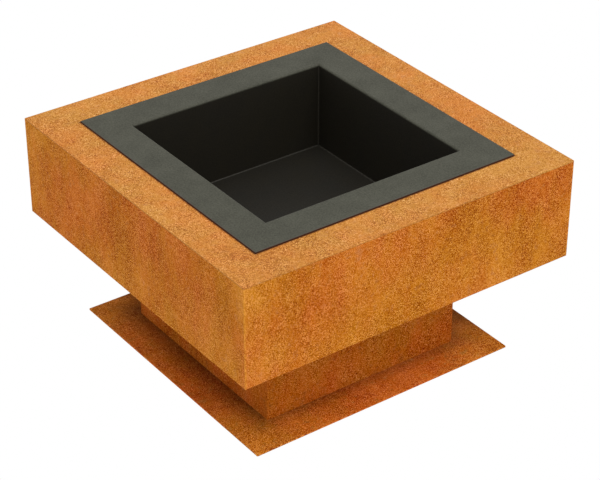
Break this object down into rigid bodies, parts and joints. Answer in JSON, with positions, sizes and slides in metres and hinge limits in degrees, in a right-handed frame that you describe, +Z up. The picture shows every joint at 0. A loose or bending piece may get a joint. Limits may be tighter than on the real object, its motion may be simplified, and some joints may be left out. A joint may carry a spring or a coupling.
{
  "type": "square fire pit table",
  "caption": "Low square fire pit table in weathering steel on a square plinth and ground plate, with a black steel fire bowl that lifts out of its top.",
  "frame": {"origin": "centre of the ground plate's underside, on the ground", "axes": "+Z up, out of the fire bowl; the table's sides face +X, -X, +Y and -Y, and -Y is called the front"},
  "size_m": [1, 1, 0.584],
  "materials": {
    "weathering_steel": "matte, rust patina",
    "black_heat_paint": "matte, heat-resistant paint",
    "zinc": "satin, galvanised"
  },
  "bodies": {
    "table": {"back_apron": "weathering_steel", "back_foot_angle": "weathering_steel", "back_head_angle": "weathering_steel", "back_opening_bar": "weathering_steel", "back_plinth_panel": "weathering_steel", "back_rib_1": "weathering_steel", "back_rib_2": "weathering_steel", "foot_nuts": "zinc", "foot_screws": "zinc", "foot_washers": "zinc", "front_apron": "weathering_steel", "front_foot_angle": "weathering_steel", "front_head_angle": "weathering_steel", "front_opening_bar": "weathering_steel", "front_plinth_panel": "weathering_steel", "front_rib_1": "weathering_steel", "front_rib_2": "weathering_steel", "ground_plate": "weathering_steel", "head_bolt_washers": "zinc", "head_bolts": "zinc", "head_nut_washers": "zinc", "head_nuts": "zinc", "left_apron": "weathering_steel", "left_foot_angle": "weathering_steel", "left_head_angle": "weathering_steel", "left_opening_bar": "weathering_steel", "left_plinth_panel": "weathering_steel", "left_rib_1": "weathering_steel", "left_rib_2": "weathering_steel", "right_apron": "weathering_steel", "right_foot_angle": "weathering_steel", "right_head_angle": "weathering_steel", "right_opening_bar": "weathering_steel", "right_plinth_panel": "weathering_steel", "right_rib_1": "weathering_steel", "right_rib_2": "weathering_steel", "top_plate": "weathering_steel", "underside_plate": "weathering_steel"},
    "fire_bowl": {"bowl_floor": "black_heat_paint", "front_bowl_side": "black_heat_paint", "right_bowl_side": "black_heat_paint", "back_bowl_side": "black_heat_paint", "left_bowl_side": "black_heat_paint"}
  },
  "joints": [
    {"name": "bowl_lift", "type": "slide", "parent": "table", "child": "fire_bowl", "axis": [0, 0, 1], "range_m": [0, 0.3]}
  ]
}
